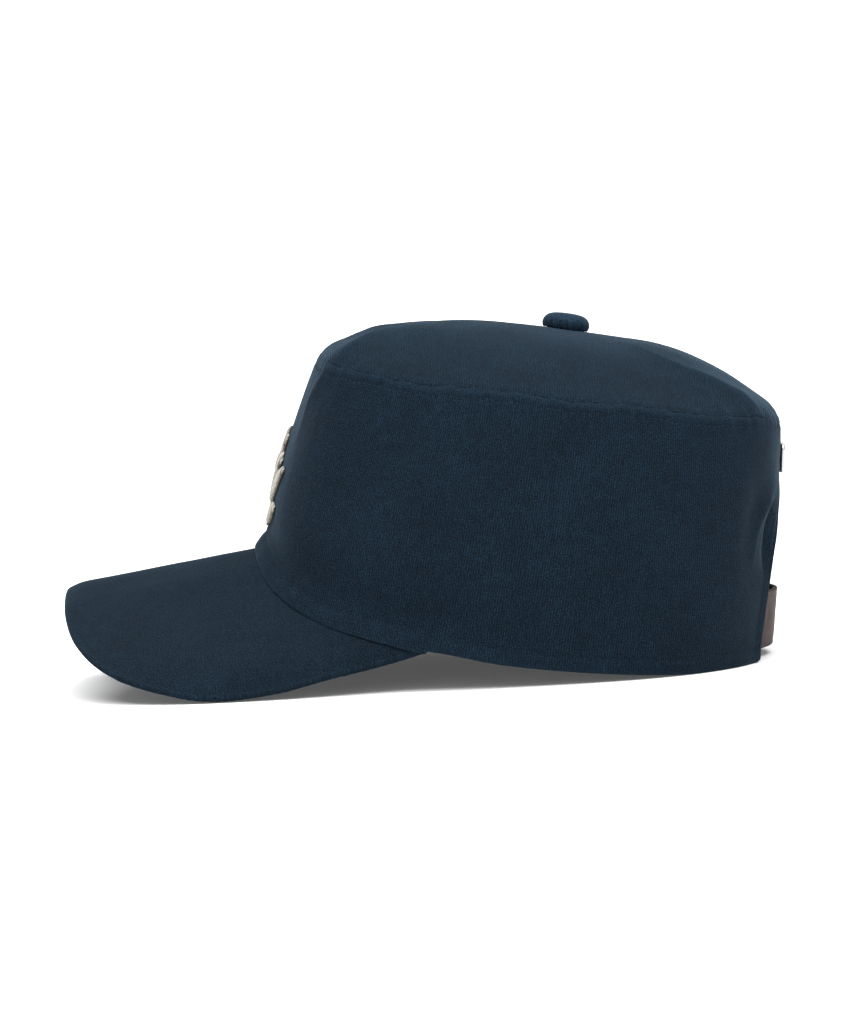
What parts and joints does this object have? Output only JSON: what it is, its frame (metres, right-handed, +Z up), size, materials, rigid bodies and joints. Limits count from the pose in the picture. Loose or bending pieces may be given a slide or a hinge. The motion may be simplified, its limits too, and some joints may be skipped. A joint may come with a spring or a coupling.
{
  "type": "pillbox cap",
  "caption": "Cloth pillbox cap with a domed oval top, an arched peak, a back arch opening with a leather strap and a raised front emblem.",
  "frame": {"origin": "on the surface that the cap rests on, under the middle of its bounding box", "axes": "+X to the wearer's left, +Y from the peak to the back of the cap, +Z up from the surface"},
  "size_m": [0.1686, 0.2792, 0.1355],
  "materials": {
    "navy_twill": "matte cotton twill",
    "peak_cloth": "smooth matte cotton over a stiff board",
    "brown_leather": "satin",
    "grey_thread": "padded satin-stitch embroidery",
    "polished_steel": "polished"
  },
  "bodies": {
    "root": {"crown_wall": "navy_twill", "crown_top": "navy_twill", "button": "navy_twill", "peak": "peak_cloth", "strap": "brown_leather", "strap_buckle": "polished_steel", "front_emblem": "grey_thread", "back_plate": "polished_steel"}
  },
  "joints": []
}
